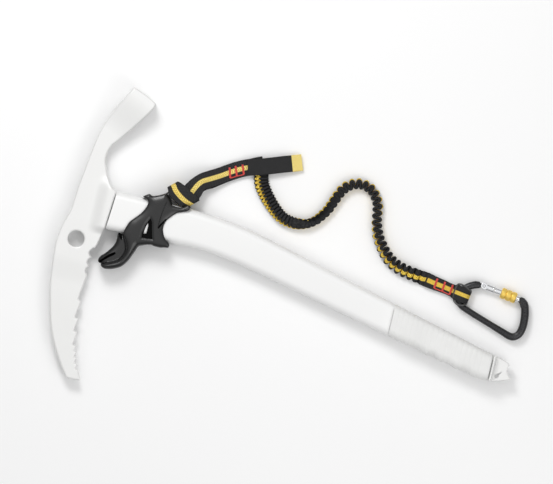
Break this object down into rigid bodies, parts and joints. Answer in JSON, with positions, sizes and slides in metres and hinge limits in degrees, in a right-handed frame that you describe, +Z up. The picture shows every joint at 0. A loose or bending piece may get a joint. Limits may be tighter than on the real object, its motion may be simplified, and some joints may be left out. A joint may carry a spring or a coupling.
{
  "type": "ice axe",
  "caption": "Bent-shaft technical ice axe lying on its side, with a sliding finger rest, an elastic webbing leash and a screw-gate carabiner.",
  "frame": {"origin": "on the ground under the middle of the axe's bounding box, without the elastic, the sewn end and the carabiner", "axes": "+X along the upper shaft from the head to the spike, +Y from the pick to the hammer, +Z up, across the axe's width; the axe lies on its side"},
  "size_m": [0.4923, 0.3078, 0.028],
  "materials": {
    "forged_steel": "satin",
    "shaft_paint": "satin white",
    "grip_rubber": "matte",
    "rivet_steel": "satin",
    "black_plastic": "satin moulded",
    "black_rubber": "matte",
    "black_webbing": "woven",
    "yellow_webbing": "woven stripe",
    "pale_yellow_fabric": "woven tape end",
    "red_thread": "dense stitching",
    "elastic_band": "matte",
    "black_anodised": "black anodised satin",
    "bright_alloy": "polished",
    "yellow_alloy": "yellow anodised knurled"
  },
  "bodies": {
    "axe": {"head": "forged_steel", "shaft": "shaft_paint", "grip": "grip_rubber", "spike": "forged_steel", "head_rivet_1": "rivet_steel", "head_rivet_2": "rivet_steel", "spike_rivet": "rivet_steel"},
    "slider": {"slider_body": "black_plastic", "slider_pad": "black_rubber", "leash_hitch": "black_webbing", "leash_strap": "black_webbing", "label_tab": "black_webbing", "upper_bar_tacks": "red_thread", "elastic_sleeve": "black_webbing", "elastic_core": "elastic_band", "end_strap": "black_webbing", "lower_bar_tacks": "red_thread", "keeper_ring": "black_rubber", "carabiner_frame": "black_anodised", "gate_hinge_pin": "bright_alloy"},
    "gate": {"gate": "bright_alloy", "gate_latch_pin": "bright_alloy", "gate_spring": "bright_alloy", "gate_plunger": "bright_alloy"},
    "screw_sleeve": {"screw_sleeve": "yellow_alloy"}
  },
  "joints": [
    {"name": "slider_slide", "type": "slide", "parent": "axe", "child": "slider", "axis": [1, 0, 0], "range_m": [-0.005, 0.035]},
    {"name": "gate_swing", "type": "hinge", "parent": "slider", "child": "gate", "pos_m": [0.19575, 0.0374, 0.0062], "axis": [0, 0, 1], "range_deg": [-28, 0], "stiffness_Nm_per_rad": 0.02, "springref_deg": 8.59},
    {"name": "sleeve_travel", "type": "slide", "parent": "gate", "child": "screw_sleeve", "axis": [0.9903, -0.1392, 0], "range_m": [-0.0065, 0.0033]}
  ]
}
